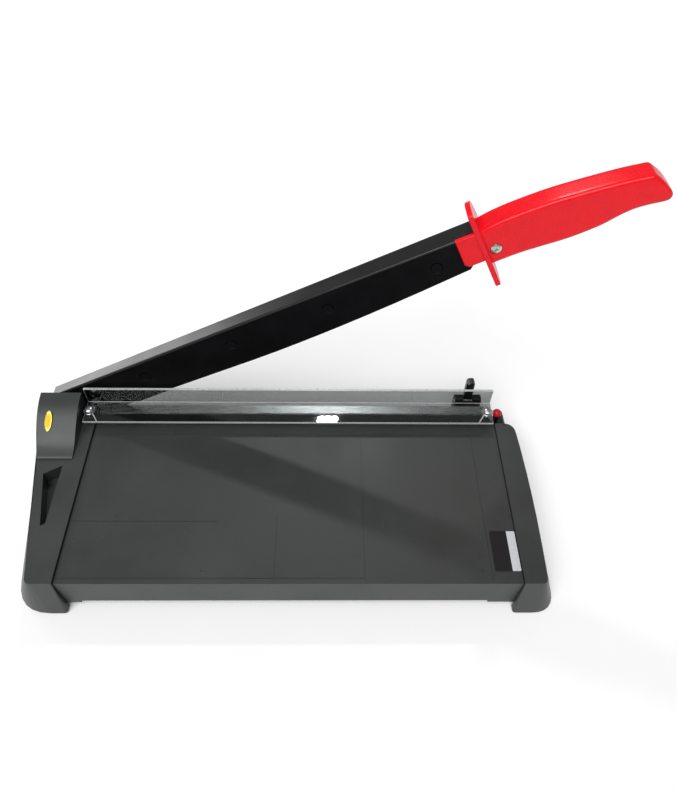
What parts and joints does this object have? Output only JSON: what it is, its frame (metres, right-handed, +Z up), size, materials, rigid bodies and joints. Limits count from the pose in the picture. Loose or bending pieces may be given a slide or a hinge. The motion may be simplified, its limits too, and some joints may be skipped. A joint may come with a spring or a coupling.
{
  "type": "guillotine paper cutter",
  "caption": "A4 guillotine paper cutter with a ruled table, a long hinged arm with a curved blade and a red handle, a clear finger guard and an arm latch",
  "frame": {"origin": "middle of the footprint, on the surface the cutter stands on", "axes": "+X along the cutting line from the pivot to the handle, +Y from the operator's edge to the cutting line, +Z up"},
  "size_m": [0.437, 0.1864, 0.2503],
  "materials": {
    "charcoal_abs": "satin moulded",
    "black_nylon": "satin moulded",
    "red_abs": "glossy moulded",
    "black_enamel": "semi-gloss",
    "blackened_steel": "ground, blackened",
    "bright_steel": "satin",
    "zinc_plated_steel": "zinc plated",
    "brass": "plain",
    "rubber": "matte",
    "clear_acrylic": "polished",
    "gold_foil_plate": "satin",
    "label_film": "satin"
  },
  "bodies": {
    "base": {"deck": "charcoal_abs", "left_casing": "charcoal_abs", "right_casing": "charcoal_abs", "pivot_cover": "charcoal_abs", "badge_plate": "gold_foil_plate", "label_plate": "label_film", "bed_bar": "bright_steel", "bed_screw_1": "zinc_plated_steel", "bed_screw_2": "zinc_plated_steel", "bed_screw_3": "zinc_plated_steel", "casing_screw_1": "zinc_plated_steel", "casing_screw_2": "zinc_plated_steel", "casing_screw_3": "zinc_plated_steel", "casing_screw_4": "zinc_plated_steel", "latch_screw_1": "zinc_plated_steel", "latch_screw_2": "zinc_plated_steel", "pad_front_left": "rubber", "pad_rear_left": "rubber", "pad_front_right": "rubber", "pad_rear_right": "rubber", "pivot_bolt": "zinc_plated_steel", "pivot_inner_washer": "zinc_plated_steel", "disc_spring_1": "bright_steel", "disc_spring_2": "bright_steel", "pivot_outer_washer": "zinc_plated_steel", "pivot_nut": "zinc_plated_steel", "clear_guard": "clear_acrylic", "guard_spacer_left": "clear_acrylic", "guard_spacer_right": "clear_acrylic", "guard_washer_left": "bright_steel", "guard_washer_right": "bright_steel", "guard_screw_left": "bright_steel", "guard_screw_right": "bright_steel", "latch_bracket": "black_nylon", "latch_pin": "zinc_plated_steel"},
    "arm": {"arm_channel": "black_enamel", "moving_blade": "blackened_steel", "pivot_bush": "brass", "blade_rivet_1": "black_enamel", "blade_rivet_2": "black_enamel", "blade_rivet_3": "black_enamel", "blade_rivet_4": "black_enamel", "handle": "red_abs", "handle_screw": "zinc_plated_steel", "handle_nut": "zinc_plated_steel"},
    "latch": {"latch_lever": "black_nylon", "latch_knob": "red_abs"}
  },
  "joints": [
    {"name": "arm_pivot", "type": "hinge", "parent": "base", "child": "arm", "pos_m": [-0.18679, 0.06625, 0.022], "axis": [0, -1, 0], "range_deg": [-27.5, 42.5]},
    {"name": "latch_pivot", "type": "hinge", "parent": "base", "child": "latch", "pos_m": [0.1365, 0.08523, 0.02], "axis": [1, 0, 0], "range_deg": [0, 8]}
  ]
}
